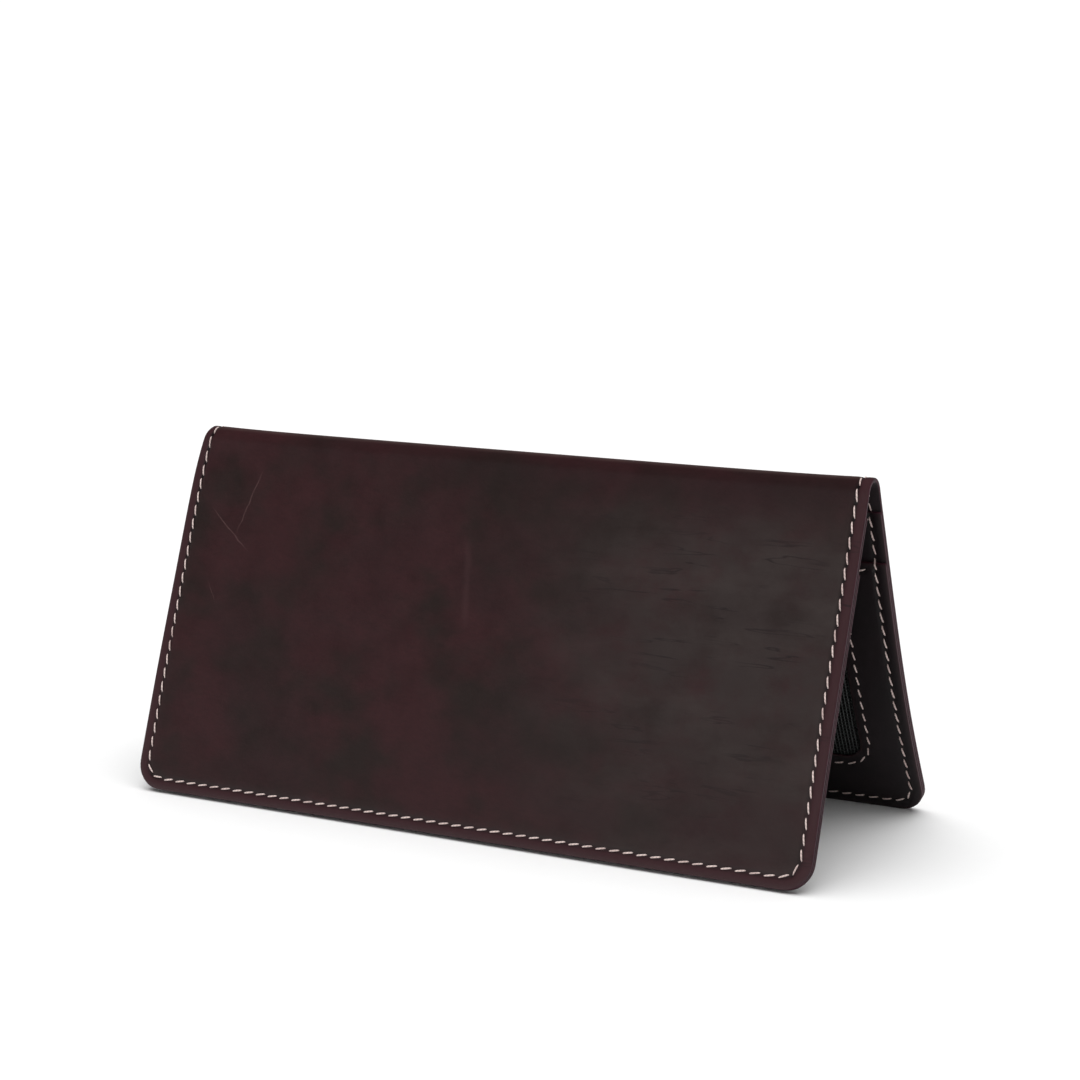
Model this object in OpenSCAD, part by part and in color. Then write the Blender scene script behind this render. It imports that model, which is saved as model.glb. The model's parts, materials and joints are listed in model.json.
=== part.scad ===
// Long bifold leather wallet, standing like a tent on its two free edges.
// X runs along the fold, the front panel leans to -Y and the back panel to +Y, Z is up.
// The origin is on the ground, midway between the two free edges.

/* [Wallet] */
// Length of the wallet along the fold
wallet_w = 190; // [184:1:200]
// Height of one panel over the leather, from the middle of the fold to the free edge
panel_h = 97; // [95:1:105]
// Radius of the free corners
corner_r = 7; // [6:0.5:12]
// Angle between the two panels as the wallet stands
stand_angle = 43; // [30:1:60]
// Outer radius of the leather round the fold
fold_r = 4; // [3.5:0.1:5]

/* [Leather] */
// Thickness of the outer cover
cover_t = 1.2; // [1:0.1:1.6]
// Thickness of the bill pockets, the card panel and the window pocket
pocket_t = 0.8; // [0.6:0.1:1]
// Thickness of the card pockets
card_t = 0.6; // [0.4:0.1:0.8]

/* [Pockets] */
// Distance from the middle of the fold to the lips of the bill pockets
bill_lip = 10; // [8:0.5:14]
// Distance from the middle of the fold to the lips of the card panel and window pocket
inner_lip = 23.2; // [18:0.2:26]
// Distance from the middle of the fold to the mouth of the first card pocket
first_mouth = 32; // [30:0.5:36]
// Step from one card pocket mouth to the next
mouth_step = 10; // [8:0.5:12]
// Length of leather below the mouth of the first two card pockets
card_drop = 46; // [40:1:48]
// Width of one column of card pockets
card_w = 88; // [80:1:88]
// Gap between the two columns of card pockets
column_gap = 2; // [1:0.5:3]
// Gap between the card pockets and the free edge
card_foot_gap = 6; // [5.5:0.5:9]

/* [Window] */
// Width of the window opening
window_w = 76; // [60:1:76]
// Height of the window opening
window_h = 45; // [40:1:46]
// Distance from the window opening to the end of the wallet
window_end_gap = 14; // [12:0.5:16]
// Distance from the window opening to the free edge
window_foot_gap = 15.5; // [14:0.5:17]
// Corner radius of the window opening
window_r = 5; // [3:0.5:8]
// Width of net hidden behind the leather all round the opening
net_margin = 4; // [3.5:0.5:5]
// Thickness of the net
net_t = 0.3; // [0.2:0.05:0.4]

/* [Seams] */
// Distance of the edge seam from the cut edge
edge_seam_inset = 2.8; // [2.5:0.1:4]
// Distance of the lip seams below the lips
lip_seam_drop = 2.1; // [1.6:0.1:3]
// Distance of the lip seams from the ends of the wallet
lip_seam_end = 5; // [4:0.5:10]
// Distance of the window seam outside the opening
window_seam_gap = 2.4; // [1.5:0.1:3]
// Distance of the card pocket seams inside the pockets' outline
card_seam_inset = 1.6; // [1.2:0.1:2.5]
// Width of the sewn thread
thread_w = 0.7; // [0.5:0.1:0.9]
// Thickness of the sewn thread, flush in a groove outside and on the leather's surface inside
thread_h = 0.25; // [0.2:0.05:0.4]

/* [Hidden] */
$fn = 96;

lean = stand_angle / 2;
half_fold = fold_r * (90 - lean) * PI / 180;
bill_depth = cover_t;
inner_depth = bill_depth + pocket_t;
card_depth = inner_depth + pocket_t;
straight_h = panel_h - half_fold;
fold_z = straight_h * cos(lean) + (card_depth - fold_r) * sin(lean);
seam_x = wallet_w / 2 - edge_seam_inset;

card_count = 3;
card_foot = panel_h - card_foot_gap;
left_column = -(card_w + column_gap) / 2;
right_column = -left_column;
window_x = wallet_w / 2 - window_end_gap - window_w / 2;
window_v = panel_h - window_foot_gap - window_h / 2;

cover_colour = "#3a2528";
pocket_colour = "#2a1d20";
card_colour = "#30211f";
thread_colour = "#cdb6b2";
net_colour = "#14161a";

// ---- placing: x along the fold, y down the leather from the middle of the fold, z inward ----

module on_front_panel() {
    translate([0, -fold_r * cos(lean), fold_z + fold_r * sin(lean)])
        rotate([-90 - lean, 0, 0])
            translate([0, -half_fold, 0])
                children();
}

module on_back_panel() {
    mirror([0, 1, 0]) on_front_panel() children();
}

// ---- outlines ----

// A panel from a straight upper edge down to the free edge, drawn in by an inset
module panel_outline(upper, inset = 0) {
    r = corner_r - inset;
    half_w = wallet_w / 2 - inset;
    lower = panel_h - inset;
    translate([-half_w, upper]) square([2 * half_w, lower - r - upper]);
    translate([r - half_w, upper]) square([2 * (half_w - r), lower - upper]);
    for (side = [-1, 1])
        translate([side * (half_w - r), lower - r]) circle(r);
}

// A rounded rectangle about the middle of the window, larger than the opening by a margin
module window_outline(margin) {
    r = window_r + margin;
    w = window_w + 2 * margin;
    h = window_h + 2 * margin;
    translate([window_x, window_v]) {
        square([w - 2 * r, h], center = true);
        square([w, h - 2 * r], center = true);
        for (sx = [-1, 1], sy = [-1, 1])
            translate([sx * (w / 2 - r), sy * (h / 2 - r)]) circle(r);
    }
}

// The ring sector that the fold fills between the two panels, seen along X
module fold_sector(r_in, r_out) {
    reach = 2 * fold_r;
    intersection() {
        difference() {
            circle(r_out);
            circle(r_in);
        }
        polygon([
            [0, 0],
            [reach * cos(lean), reach * sin(lean)],
            [reach * cos(lean), reach],
            [-reach * cos(lean), reach],
            [-reach * cos(lean), reach * sin(lean)]
        ]);
    }
}

// ---- leather ----

// One full-width layer of leather whose outer face lies at a depth below the cover's outer face
module leather_layer(upper, depth, thickness) {
    translate([0, 0, depth])
        linear_extrude(thickness) panel_outline(upper);
}

// One side of the cover, with the groove that the edge seam lies in
module cover_leather() {
    difference() {
        leather_layer(half_fold, 0, cover_t);
        edge_seam(half_fold, panel_h, 0);
    }
}

module front_cover() {
    color(cover_colour) on_front_panel() cover_leather();
}

module back_cover() {
    color(cover_colour) on_back_panel() cover_leather();
}

// A piece of a given length along X whose outline is drawn in the plane across the fold
module along_fold(from_x, length) {
    translate([from_x, 0, fold_z])
        rotate([90, 0, 90])
            linear_extrude(length) children();
}

module spine_fold() {
    color(cover_colour) difference() {
        along_fold(-wallet_w / 2, wallet_w) fold_sector(fold_r - cover_t, fold_r);
        for (side = [-1, 1])
            along_fold(side * seam_x - thread_w / 2, thread_w) fold_sector(fold_r - thread_h, fold_r + 1);
    }
}

module front_bill_pocket() {
    color(pocket_colour) on_front_panel() leather_layer(bill_lip, bill_depth, pocket_t);
}

module back_bill_pocket() {
    color(pocket_colour) on_back_panel() leather_layer(bill_lip, bill_depth, pocket_t);
}

module card_panel() {
    color(pocket_colour) on_front_panel() leather_layer(inner_lip, inner_depth, pocket_t);
}

// The window pocket has its opening, and a shallow recess on the hidden side for the net
module window_pocket() {
    color(pocket_colour) on_back_panel() difference() {
        leather_layer(inner_lip, inner_depth, pocket_t);
        translate([0, 0, inner_depth - 1]) linear_extrude(pocket_t + 2) window_outline(0);
        translate([0, 0, inner_depth - 1]) linear_extrude(1 + net_t) window_outline(net_margin);
    }
}

module window_net() {
    color(net_colour) on_back_panel()
        translate([0, 0, inner_depth]) linear_extrude(net_t) window_outline(net_margin);
}

// Card pockets lie one over the next, each mouth a step lower than the one under it
function mouth(index) = first_mouth + index * mouth_step;
function foot(index) = index == card_count - 1 ? card_foot : min(card_foot, mouth(index) + card_drop);

module card_pocket(column_x, index) {
    color(card_colour)
        translate([column_x - card_w / 2, mouth(index), card_depth + index * card_t])
            cube([card_w, foot(index) - mouth(index), card_t]);
}

// ---- thread ----

// The part of the edge seam between two distances from the fold, lying on a face at a depth
module edge_seam(upper, lower, depth) {
    translate([0, 0, depth])
        linear_extrude(thread_h) intersection() {
            difference() {
                panel_outline(upper, edge_seam_inset - thread_w / 2);
                panel_outline(upper - 1, edge_seam_inset + thread_w / 2);
            }
            translate([-wallet_w / 2, upper]) square([wallet_w, lower - upper]);
        }
}

// The edge seam lies flush in the cover's outer face, and on every stepped face inside
module edge_thread() {
    color(thread_colour) {
        edge_seam(half_fold, panel_h, 0);
        edge_seam(half_fold, bill_lip, bill_depth);
        edge_seam(bill_lip, inner_lip, inner_depth);
        edge_seam(inner_lip, panel_h, card_depth);
    }
}

module front_edge_thread() {
    on_front_panel() edge_thread();
}

module back_edge_thread() {
    on_back_panel() edge_thread();
}

// The edge seams carry on over the fold at both ends, outside and inside
module spine_thread() {
    color(thread_colour)
        for (side = [-1, 1])
            along_fold(side * seam_x - thread_w / 2, thread_w) {
                fold_sector(fold_r - thread_h, fold_r);
                fold_sector(fold_r - cover_t - thread_h, fold_r - cover_t);
            }
}

module lip_thread(lip, depth) {
    half_seam = wallet_w / 2 - lip_seam_end;
    color(thread_colour)
        translate([-half_seam, lip + lip_seam_drop - thread_w / 2, depth])
            cube([2 * half_seam, thread_w, thread_h]);
}

module window_frame_thread() {
    color(thread_colour) on_back_panel()
        translate([0, 0, card_depth])
            linear_extrude(thread_h) difference() {
                window_outline(window_seam_gap + thread_w / 2);
                window_outline(window_seam_gap - thread_w / 2);
            }
}

// The seam down both sides of a column of card pockets, and along its foot
module card_thread(column_x) {
    half_seam = card_w / 2 - card_seam_inset;
    last = card_count - 1;
    color(thread_colour) translate([column_x, 0, 0]) {
        for (index = [0 : last], side = [-1, 1]) {
            lower = index == last ? card_foot - card_seam_inset : mouth(index + 1);
            translate([side * half_seam - thread_w / 2, mouth(index), card_depth + (index + 1) * card_t])
                cube([thread_w, lower - mouth(index), thread_h]);
        }
        translate([thread_w / 2 - half_seam, card_foot - card_seam_inset - thread_w, card_depth + card_count * card_t])
            cube([2 * half_seam - thread_w, thread_w, thread_h]);
    }
}

front_cover();
spine_fold();
back_cover();
front_bill_pocket();
back_bill_pocket();
card_panel();
window_pocket();
window_net();
on_front_panel() card_pocket(left_column, 0);  // front_left_card_pocket_upper
on_front_panel() card_pocket(left_column, 1);  // front_left_card_pocket_middle
on_front_panel() card_pocket(left_column, 2);  // front_left_card_pocket_lower
on_front_panel() card_pocket(right_column, 0);  // front_right_card_pocket_upper
on_front_panel() card_pocket(right_column, 1);  // front_right_card_pocket_middle
on_front_panel() card_pocket(right_column, 2);  // front_right_card_pocket_lower
on_back_panel() card_pocket(left_column, 0);  // back_card_pocket_upper
on_back_panel() card_pocket(left_column, 1);  // back_card_pocket_middle
on_back_panel() card_pocket(left_column, 2);  // back_card_pocket_lower
front_edge_thread();
spine_thread();
back_edge_thread();
on_front_panel() lip_thread(bill_lip, inner_depth);  // front_bill_lip_thread
on_back_panel() lip_thread(bill_lip, inner_depth);  // back_bill_lip_thread
on_front_panel() lip_thread(inner_lip, card_depth);  // card_panel_lip_thread
on_back_panel() lip_thread(inner_lip, card_depth);  // window_pocket_lip_thread
window_frame_thread();
on_front_panel() card_thread(left_column);  // front_left_card_thread
on_front_panel() card_thread(right_column);  // front_right_card_thread
on_back_panel() card_thread(left_column);  // back_card_thread
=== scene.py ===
"""A long bifold wallet of oxblood pull-up leather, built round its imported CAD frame.

Lengths are metres. Most shapes start on the leather as it was cut, in flat coordinates (x, s, h):
x runs along the fold, s runs over the leather from the middle of the fold, negative down the front
panel and positive down the back one, and h is the height above the cover's outer face, so every
layer inside lies below zero. laid() then folds a flat point into its place on the standing wallet.
"""

import json
import math
from functools import partial

import bmesh
import bpy
from mathutils import Matrix, Vector, kdtree, noise


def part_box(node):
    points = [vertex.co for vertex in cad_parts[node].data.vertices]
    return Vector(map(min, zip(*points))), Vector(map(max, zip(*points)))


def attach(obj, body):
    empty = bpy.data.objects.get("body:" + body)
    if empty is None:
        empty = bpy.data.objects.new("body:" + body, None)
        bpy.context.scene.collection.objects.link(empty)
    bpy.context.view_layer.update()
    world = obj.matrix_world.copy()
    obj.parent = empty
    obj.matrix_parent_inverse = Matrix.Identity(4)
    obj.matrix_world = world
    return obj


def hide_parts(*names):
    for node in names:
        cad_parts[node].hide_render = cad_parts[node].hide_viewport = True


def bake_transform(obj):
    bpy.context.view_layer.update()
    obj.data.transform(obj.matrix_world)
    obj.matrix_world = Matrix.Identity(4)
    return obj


bl_info = {
    "name": "Long Wallet",
    "version": (1, 0, 0),
    "blender": (4, 5, 0),
    "location": "3D View > Sidebar > Wallet",
    "description": "Builds a stitched long wallet round its packed CAD frame",
    "category": "Add Mesh",
}

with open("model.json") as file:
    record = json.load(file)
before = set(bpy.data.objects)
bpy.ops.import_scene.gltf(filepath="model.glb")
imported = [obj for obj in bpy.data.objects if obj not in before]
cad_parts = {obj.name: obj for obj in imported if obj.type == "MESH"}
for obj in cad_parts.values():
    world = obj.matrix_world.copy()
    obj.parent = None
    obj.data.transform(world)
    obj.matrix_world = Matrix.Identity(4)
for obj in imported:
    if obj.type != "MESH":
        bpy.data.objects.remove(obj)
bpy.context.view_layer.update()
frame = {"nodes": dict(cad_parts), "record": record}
MM = 0.001
FRONT, BACK = "front_panel", "back_panel"


# ---- the wallet's section and flat sizes, read from the frame ----


def mount_axis(name):
    """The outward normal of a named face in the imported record."""
    mounts = {mount["name"]: mount for mount in frame["record"]["mounts"]}
    return Vector(mounts[name]["axis"])


class Section:
    """The tent's cross-section: two straight panels on a round fold.

    lean is the angle between a panel and the upright, start is where the fold ends and a panel
    begins, and height is the leather's length from the middle of the fold to the free edge.
    """

    def __init__(self):
        facing = mount_axis("back_cover_face")
        cover_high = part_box("back_cover")[1]
        spine_low, spine_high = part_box("spine_fold")
        self.lean = math.atan2(facing.z, facing.y)
        self.cos, self.sin = math.cos(self.lean), math.sin(self.lean)
        self.half_length = cover_high.x
        self.fold_r = spine_high.y / self.cos
        self.half_fold = self.fold_r * (math.pi / 2 - self.lean)
        self.start_y = self.fold_r * self.cos
        self.start_z = cover_high.z
        self.fold_z = self.start_z - self.fold_r * self.sin
        self.straight = (cover_high.y - self.start_y) / self.sin
        self.height = self.half_fold + self.straight
        self.cover_t = self.fold_r - (spine_low.z - self.fold_z) / self.sin


section = Section()


class FlatBox:
    """A panel node's extent on the cut leather: x, distance from the fold, and depth inward."""

    def __init__(self, node):
        low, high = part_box(node)
        near, far = sorted((abs(low.y), abs(high.y)))
        c, s = section.cos, section.sin
        # A leaning slab's box gives four sums of its upper and lower ends and its two depths
        equations = Matrix(((c, 0, s, 0), (0, c, 0, s), (0, s, -c, 0), (s, 0, 0, -c)))
        sums = Vector((
            section.start_z - high.z,
            section.start_z - low.z,
            far - section.start_y,
            near - section.start_y,
        ))
        upper, lower, outer, inner = equations.inverted() @ sums
        self.x0, self.x1 = low.x, high.x
        self.upper, self.lower = upper + section.half_fold, lower + section.half_fold
        self.outer, self.inner = outer, inner

    @property
    def middle(self):
        return (self.x0 + self.x1) / 2, (self.upper + self.lower) / 2


def length_property(name, description, millimetres):
    """A length setting whose default is given in millimetres."""
    return bpy.props.FloatProperty(
        name=name, description=description, default=millimetres * MM, unit="LENGTH")


class WalletSizes(bpy.types.PropertyGroup):
    """Sizes of the finish that the CAD frame leaves open."""

    corner: length_property("Corner radius", "Radius of the free corners", 7)
    seam_inset: length_property("Seam inset", "Edge seam to cut edge", 2.8)
    stitch: length_property("Stitch", "Length from one needle hole to the next", 3.6)
    thread: length_property("Thread", "Width of the thread", 0.43)
    groove: length_property("Groove", "Depth that the seams pull the leather in", 0.18)
    back_bow: length_property("Back bow", "How far the back panel bows inward", 2.2)
    front_bow: length_property("Front bow", "How far the front panel bows inward", -0.3)
    crest: length_property("Crest", "How far the fold stands up above a round one", 0.5)
    fold_draw: length_property("Fold draw", "How far the fold's left end is drawn in", 2.3)
    ripple: length_property("Ripple", "Soft unevenness of the leather", 0.22)
    lip_lift: length_property("Lip lift", "How far pocket mouths stand off", 0.25)
    window_corner: length_property("Window corner", "Corner radius of the opening", 5)
    # The real net's cells are about 0.7 mm, too fine to show, so they are drawn coarser
    net_pitch: length_property("Net pitch", "Width of one cell of the net", 0.95)
    net_strand: length_property("Net strand", "Width of one strand of the net", 0.34)


def srgb(hex_colour):
    """Linear RGBA from an sRGB hex string such as '3A2528'."""
    values = [int(hex_colour[i:i + 2], 16) / 255 for i in (0, 2, 4)]
    linear = [v / 12.92 if v <= 0.04045 else ((v + 0.055) / 1.055) ** 2.4 for v in values]
    return (*linear, 1.0)


def colour_property(name, description, hex_colour):
    """A colour setting whose default is an sRGB hex value."""
    return bpy.props.FloatVectorProperty(
        name=name, description=description, subtype="COLOR", size=4, min=0, max=1,
        default=srgb(hex_colour))


class WalletColours(bpy.types.PropertyGroup):
    """Colours of the leather, thread and net."""

    cover: colour_property("Cover", "Main colour of the cover leather", "2A1517")
    cover_red: colour_property("Cover red", "Colour where the wax is thin", "311619")
    # Colour that greys the front towards its right end
    cover_dark: colour_property("Cover dark", "Colour where the wax is thick", "201513")
    cover_grey: colour_property("Cover waxed", "Colour where handling has brought wax up", "2F2625")
    margin: colour_property("Margin", "Colour outside the edge seam", "361D21")
    edge: colour_property("Edge", "Colour of the burnished cut edges", "3F1D28")
    flesh: colour_property("Flesh side", "Colour of the leather's rough side", "241A1E")
    # Darker than the cover: painted shade for the inside of the wallet
    pocket: colour_property("Pocket", "Main colour of the pocket leather", "160C10")
    thread: colour_property("Thread", "Colour of the thread", "E9D3CD")
    net: colour_property("Net", "Colour of the window net", "1F2422")
    floor: colour_property("Floor", "Colour of the paper under the wallet", "F7F7F7")


# ---- folding the flat leather ----

# How many soft ripples there are in a metre, along the fold and across it
RIPPLES = (22, 26)
# How far down from its crest the fold still stands up
CREST_REACH = 2.2 * section.half_fold
# Over what lengths the draw at the fold's end fades, along the fold and down from its crest
DRAW_ALONG, DRAW_ACROSS, DRAW_ROUND = 6 * MM, 5 * MM, 2 * MM


def soft_step(value, low, high):
    """0 below low, 1 above high, and smooth between."""
    t = min(max((value - low) / (high - low), 0), 1)
    return t * t * (3 - 2 * t)


def panel_bow(sizes, s, x):
    """How far the leather at a flat place stands inward of the straight panel."""
    u = (abs(s) - section.half_fold) / section.straight
    if u <= 0:
        return 0.0
    depth = sizes.back_bow if s > 0 else sizes.front_bow
    bow = depth * math.sin(math.pi * min(u, 1.0) ** 1.25)
    wave = noise.noise(Vector((x * RIPPLES[0], s * RIPPLES[1], 3.7))) * min(u * 4, 1.0)
    return bow + sizes.ripple * wave


def crest_lift(sizes, x, v):
    """How far the leather near the fold stands up: more towards the open ends of the fold."""
    near = 1 - soft_step(v, 0, CREST_REACH)
    end = (abs(x) / section.half_length) ** 6
    return sizes.crest * (1 + end) * near


def drawn_in(sizes, x, v):
    """How far the tight edge seam draws the leather in at the fold's left end."""
    from_end = section.half_length + x
    from_crest = math.hypot(v, DRAW_ROUND) - DRAW_ROUND
    return sizes.fold_draw * math.exp(-from_end / DRAW_ALONG - from_crest / DRAW_ACROSS)


def laid(sizes, x, s, h):
    """The place on the standing wallet of the flat point (x, s, h)."""
    side = -1 if s < 0 else 1
    v = abs(s)
    lift = crest_lift(sizes, x, v)
    x += drawn_in(sizes, x, v)
    if v < section.half_fold:
        r, angle = section.fold_r + h, v / section.fold_r
        return Vector((x, side * r * math.sin(angle), section.fold_z + lift + r * math.cos(angle)))
    h -= panel_bow(sizes, s, x)
    down = v - section.half_fold
    y = section.start_y + down * section.sin + h * section.cos
    z = section.start_z + lift - down * section.cos + h * section.sin
    return Vector((x, side * y, z))


# ---- flat outlines and seams ----


class RoundRect:
    """A rounded rectangle on the cut leather."""

    def __init__(self, cx, cy, half_w, half_h, r):
        self.cx, self.cy, self.half_w, self.half_h, self.r = cx, cy, half_w, half_h, r

    def grown(self, by):
        return RoundRect(self.cx, self.cy, self.half_w + by, self.half_h + by, self.r + by)

    def gap(self, x, y):
        """Distance from the outline, positive inside."""
        qx = abs(x - self.cx) - self.half_w + self.r
        qy = abs(y - self.cy) - self.half_h + self.r
        return self.r - math.hypot(max(qx, 0), max(qy, 0)) - min(max(qx, qy), 0)

    def points(self, step):
        """Evenly spaced points round the outline, a multiple of four of them."""
        w, h, arc = self.half_w - self.r, self.half_h - self.r, self.r * math.pi / 2
        total = 4 * (w + arc + h)
        count = 4 * round(total / 4 / step)
        return [self.at(total * i / count, w, h, arc) for i in range(count)]

    def at(self, t, w, h, arc):
        """The point a distance t round the outline from the middle of its side at high y."""
        turns, t = divmod(t, w + arc + h)
        turned = turns % 2 == 1
        first, second = (h, w) if turned else (w, h)
        if t <= first:
            x, y = t, second + self.r
        elif t <= first + arc:
            angle = math.pi / 2 - (t - first) / self.r
            x, y = first + self.r * math.cos(angle), second + self.r * math.sin(angle)
        else:
            x, y = first + self.r, second - (t - first - arc)
        if turned:
            x, y = y, -x
        side = -1 if turns >= 2 else 1
        return Vector((self.cx + side * x, self.cy + side * y))


def cover_outline(sizes):
    return RoundRect(0, 0, section.half_length, section.height, sizes.corner)


def edge_seam(sizes):
    """The needle holes of the edge seam, all round the cover."""
    return cover_outline(sizes).grown(-sizes.seam_inset).points(sizes.stitch)


def straight_seam(start, end, step):
    """Needle holes along a straight seam."""
    start, end = Vector(start), Vector(end)
    count = max(1, round((end - start).length / step))
    return [start.lerp(end, i / count) for i in range(count + 1)]


# ---- cutting leather ----

# How far a seam and a needle hole pull the leather down beside them, and how a cut edge thins
SEAM_REACH, HOLE_REACH, HOLE_DEPTH = 0.75 * MM, 0.45 * MM, 1.6
EDGE_THINNING = 0.10 * MM
# Edges that turn more than this many radians are cut ones
SHARP = 1.2
# The distance to a needle hole where there are none
FAR = 1.0


def spaced(low, high, step):
    """Grid lines from low to high, about a step apart."""
    count = max(1, math.ceil((high - low) / step - 1e-6))
    return [low + (high - low) * i / count for i in range(count + 1)]


def seam_lines(seam_at):
    """Grid lines across a seam, close together where the leather dips."""
    return [seam_at + offset * MM for offset in (-1.3, -0.7, -0.3, 0, 0.3, 0.7, 1.3)]


def cut_lines(low, high, step, seams):
    """Grid lines over a stretch of leather, with its ends and seams always among them."""
    fixed = {low, high}
    for seam_at in seams:
        fixed.update(line for line in seam_lines(seam_at) if low < line < high)
    between = [line for line in spaced(low, high, step) if min(abs(line - k) for k in fixed) > 0.35 * step]
    return sorted([*fixed, *between])


def flat_sheet(bm, xs, ss):
    """A flat grid of quads on the given lines."""
    bmesh.ops.create_grid(bm, x_segments=len(xs) - 1, y_segments=len(ss) - 1, size=1)
    for vert in bm.verts:
        column = round((vert.co.x + 1) / 2 * (len(xs) - 1))
        row = round((vert.co.y + 1) / 2 * (len(ss) - 1))
        vert.co = (xs[column], ss[row], 0)


def round_corners(bm, outline, free_ends):
    """Draws the square corners of a flat sheet in to the outline's round ones."""
    r = outline.r
    for vert in bm.verts:
        x, s = vert.co.x - outline.cx, vert.co.y - outline.cy
        a = (abs(x) - outline.half_w + r) / r
        b = (abs(s) - outline.half_h + r) / r
        if a <= 0 or b <= 0 or math.copysign(1, s) not in free_ends:
            continue
        x = math.copysign(outline.half_w - r + r * a * math.sqrt(1 - b * b / 2), x)
        s = math.copysign(outline.half_h - r + r * b * math.sqrt(1 - a * a / 2), s)
        vert.co.x, vert.co.y = outline.cx + x, outline.cy + s


def cut_window(bm, opening):
    """Takes the faces out of an opening, and draws its corners round."""
    inside = [f for f in bm.faces if opening.gap(*f.calc_center_median().xy) > 0]
    bmesh.ops.delete(bm, geom=inside, context="FACES")
    r = opening.r
    for vert in {v for e in bm.edges if e.is_boundary for v in e.verts}:
        x, s = vert.co.x - opening.cx, vert.co.y - opening.cy
        a, b = abs(x) - opening.half_w + r, abs(s) - opening.half_h + r
        if a < -1e-6 or b < -1e-6 or max(a, b) > r + 1e-6:
            continue
        spread = math.hypot(a, b)
        vert.co.x = opening.cx + math.copysign(opening.half_w - r + a * r / spread, x)
        vert.co.y = opening.cy + math.copysign(opening.half_h - r + b * r / spread, s)


def thicken(bm, outer_h, inner_h, soft):
    """Gives a flat sheet its thickness and softens its cut edges."""
    for vert in bm.verts:
        vert.co.z = outer_h
    grown = bmesh.ops.extrude_face_region(bm, geom=bm.faces[:] + bm.edges[:], use_keep_orig=True)
    for item in grown["geom"]:
        if isinstance(item, bmesh.types.BMVert):
            item.co.z = inner_h
    bmesh.ops.recalc_face_normals(bm, faces=bm.faces[:])
    rim = [e for e in bm.edges if e.is_manifold and e.calc_face_angle() > SHARP]
    rim = [e for e in rim if abs(e.verts[0].co.z - e.verts[1].co.z) < 1e-9]
    bmesh.ops.bevel(
        bm, geom=rim, offset=soft, offset_type="OFFSET", segments=2, profile=0.5,
        affect="EDGES", material=-1, clamp_overlap=True)


class Holes:
    """Needle holes that can be searched for the one nearest a flat place."""

    def __init__(self, points):
        self.tree = kdtree.KDTree(max(len(points), 1))
        for index, point in enumerate(points):
            self.tree.insert((point.x, point.y, 0), index)
        self.tree.balance()

    def distance(self, x, s):
        found = self.tree.find((x, s, 0))
        return FAR if found[2] is None else found[2]


def finish_leather(name, bm, sizes, grain_up, seams, holes, edge_gap, lift, materials):
    """Shapes the seams, folds the flat piece into place and gives it its object.

    seams(x, s) is the distance to the nearest seam line, edge_gap(x, s) the distance to the cut
    edge, and lift(x, s) how far the whole piece stands off inward.
    """
    for face in bm.faces:
        up = face.normal.z
        face.material_index = 2 if abs(up) < 0.9 else (0 if (up > 0) == grain_up else 1)
        face.smooth = True
    heights = [v.co.z for v in bm.verts]
    middle = (min(heights) + max(heights)) / 2
    marks = [bm.verts.layers.float.new(layer) for layer in ("edge_gap", "seam_gap", "hole_gap")]
    uv = bm.loops.layers.uv.new("hide")
    for face in bm.faces:
        for loop in face.loops:
            co = loop.vert.co
            # Depth shifts the pattern too, so that it doesn't streak down a cut edge
            loop[uv].uv = (co.x + 0.7 * co.z, co.y + 0.7 * co.z)
    for vert in bm.verts:
        x, s, h = vert.co
        gap, seam = edge_gap(x, s), seams(x, s)
        hole = holes.distance(x, s)
        for mark, distance in zip(marks, (gap, seam, hole)):
            vert[mark] = distance / MM
        grain = (h > middle) == grain_up
        inward = -1 if grain_up else 1
        if grain:
            dip = sizes.groove * math.exp(-((seam / SEAM_REACH) ** 2))
            dip += HOLE_DEPTH * sizes.groove * math.exp(-((hole / HOLE_REACH) ** 2))
            dip += EDGE_THINNING * (1 - soft_step(gap, 0, sizes.seam_inset))
            h += inward * dip
        vert.co = laid(sizes, x, s, h - lift(x, s))
    return make_object(name, bm, materials)


def make_object(name, bm, materials):
    """An object at the origin that holds the finished mesh."""
    mesh = bpy.data.meshes.new(name)
    bm.to_mesh(mesh)
    bm.free()
    for material in materials:
        mesh.materials.append(material)
    piece = bpy.data.objects.new(name, mesh)
    bpy.context.scene.collection.objects.link(piece)
    return piece


# ---- sewing ----

STITCH_SLANT = math.radians(11)
# Half of a stitch's length, as a share of the distance between its needle holes
STITCH_REACH = 0.435
STITCH_BLUNT = 0.1
STITCH_FLATTENING = 0.85
STITCH_SINKING = 0.6
# How proud of the leather a stitch's middle lies, and how far its ends dive, in thread widths
STITCH_PROUD, STITCH_DIVE = 0.2, 1.1


def sew(bm, sizes, holes, face_h, outside):
    """Lays one stitch between each two needle holes, on a face at height face_h(s)."""
    up = 1 if outside else -1
    for start, end in zip(holes, holes[1:]):
        run = end - start
        angle = math.atan2(run.y, run.x) + STITCH_SLANT * up
        lay = Matrix.Translation((start + end).to_3d() / 2) @ Matrix.Rotation(angle, 4, "Z")
        made = bmesh.ops.create_uvsphere(bm, u_segments=8, v_segments=6, radius=1, calc_uvs=True)
        for vert in made["verts"]:
            across, out, along = vert.co
            taper = max(abs(along) - STITCH_BLUNT, 0) / (1 - STITCH_BLUNT)
            full = sizes.thread / 2 * math.sqrt(max(1 - taper ** 3, 0))
            # The ball's own girth is divided out, so that the taper alone shapes the stitch
            width = full / max(math.hypot(across, out), 1e-6)
            spot = lay @ Vector((along * run.length * STITCH_REACH, across * width, 0))
            crest = sizes.thread * (STITCH_PROUD - STITCH_DIVE * abs(along) ** 5)
            h = crest + out * width * STITCH_FLATTENING - sizes.groove * STITCH_SINKING
            vert.co = laid(sizes, spot.x, spot.y, face_h(spot.y) + up * h)
    bmesh.ops.recalc_face_normals(bm, faces=bm.faces[:])


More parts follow.
